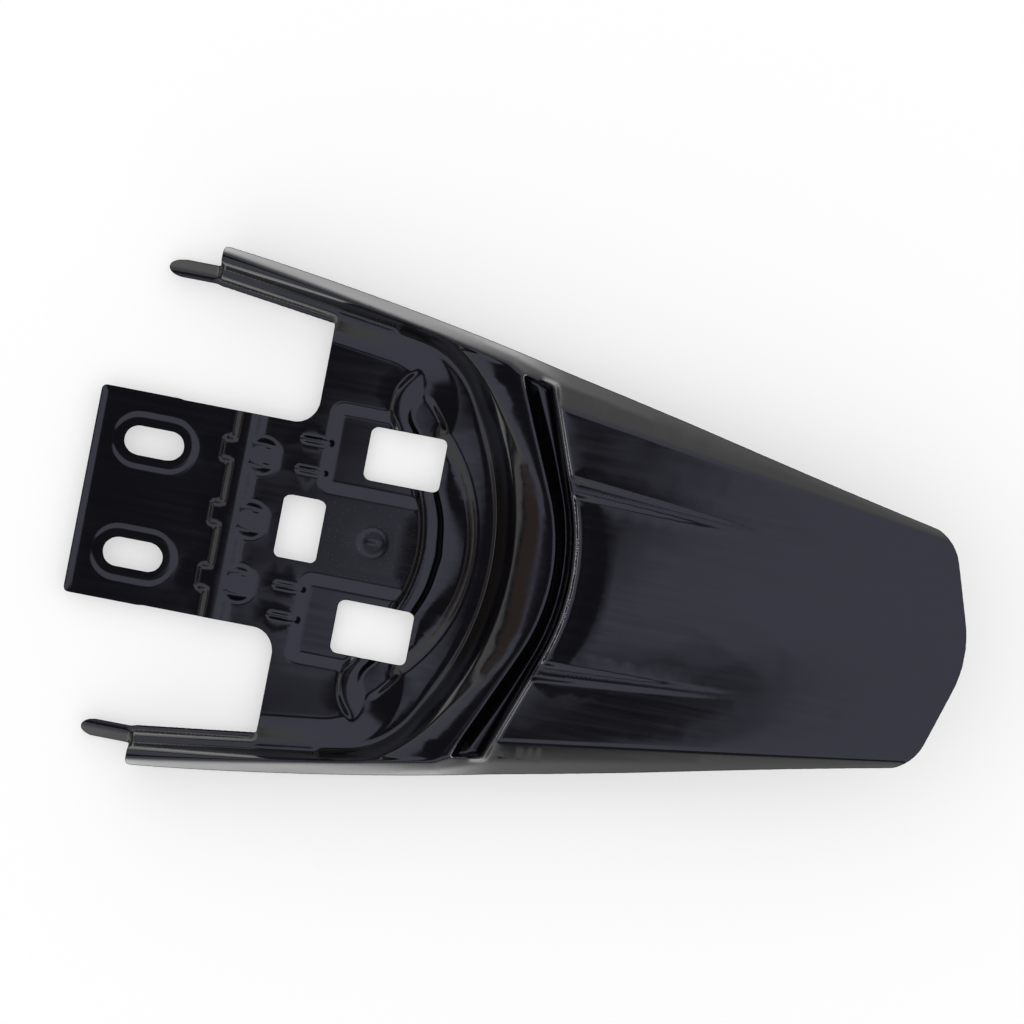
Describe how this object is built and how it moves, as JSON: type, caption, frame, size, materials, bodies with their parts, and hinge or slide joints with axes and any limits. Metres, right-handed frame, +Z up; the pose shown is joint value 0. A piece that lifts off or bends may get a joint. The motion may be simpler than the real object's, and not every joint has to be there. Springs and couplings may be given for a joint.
{
  "type": "motorcycle fender",
  "caption": "Moulded rear fender of a small motorcycle: slotted flange, pan under the seat, U-shaped wall, two side arms and a long ribbed tail behind a chevron groove.",
  "frame": {"origin": "midway between the two slots, on the lower face of the flange", "axes": "+X from the flange towards the tail, +Y to one side, +Z up, out of the visible side"},
  "size_m": [0.4475, 0.2648, 0.0673],
  "materials": {
    "moulded_plastic": "gloss as moulded, matte on the pan"
  },
  "bodies": {
    "root": {"fender": "moulded_plastic"}
  },
  "joints": []
}
